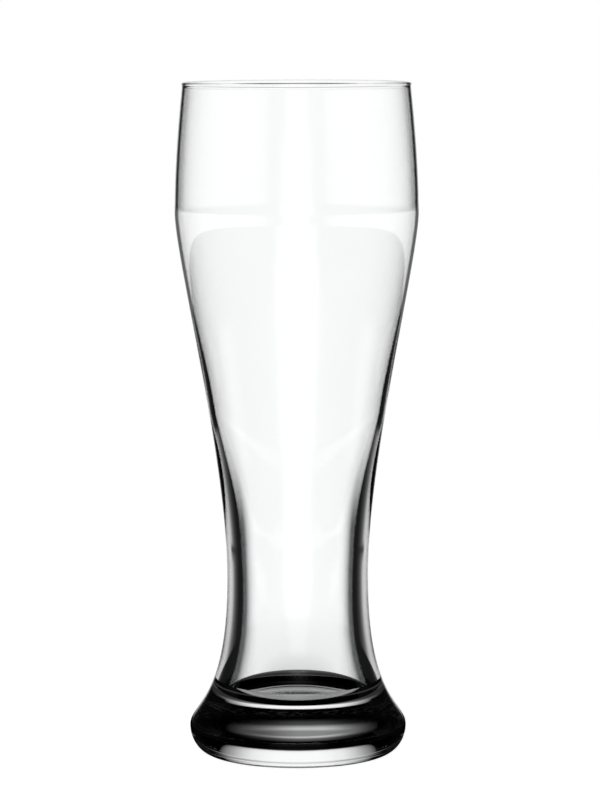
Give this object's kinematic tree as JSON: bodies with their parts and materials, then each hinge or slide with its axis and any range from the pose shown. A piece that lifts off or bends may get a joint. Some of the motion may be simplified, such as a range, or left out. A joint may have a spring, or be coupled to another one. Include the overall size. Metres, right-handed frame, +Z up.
{
  "type": "weizen glass",
  "caption": "Tall waisted beer glass with a thin flared bowl, a round fire-polished lip and a heavy solid foot.",
  "frame": {"origin": "centre of the ring under the foot, on the surface that the glass stands on", "axes": "+Z up along the axis of the glass; the glass is round, so +X and +Y point anywhere around it"},
  "size_m": [0.0812, 0.0812, 0.225],
  "materials": {
    "bowl_glass": "clear, fire-polished",
    "foot_glass": "clear, fire-polished"
  },
  "bodies": {
    "root": {"bowl": "bowl_glass", "foot": "foot_glass"}
  },
  "joints": []
}
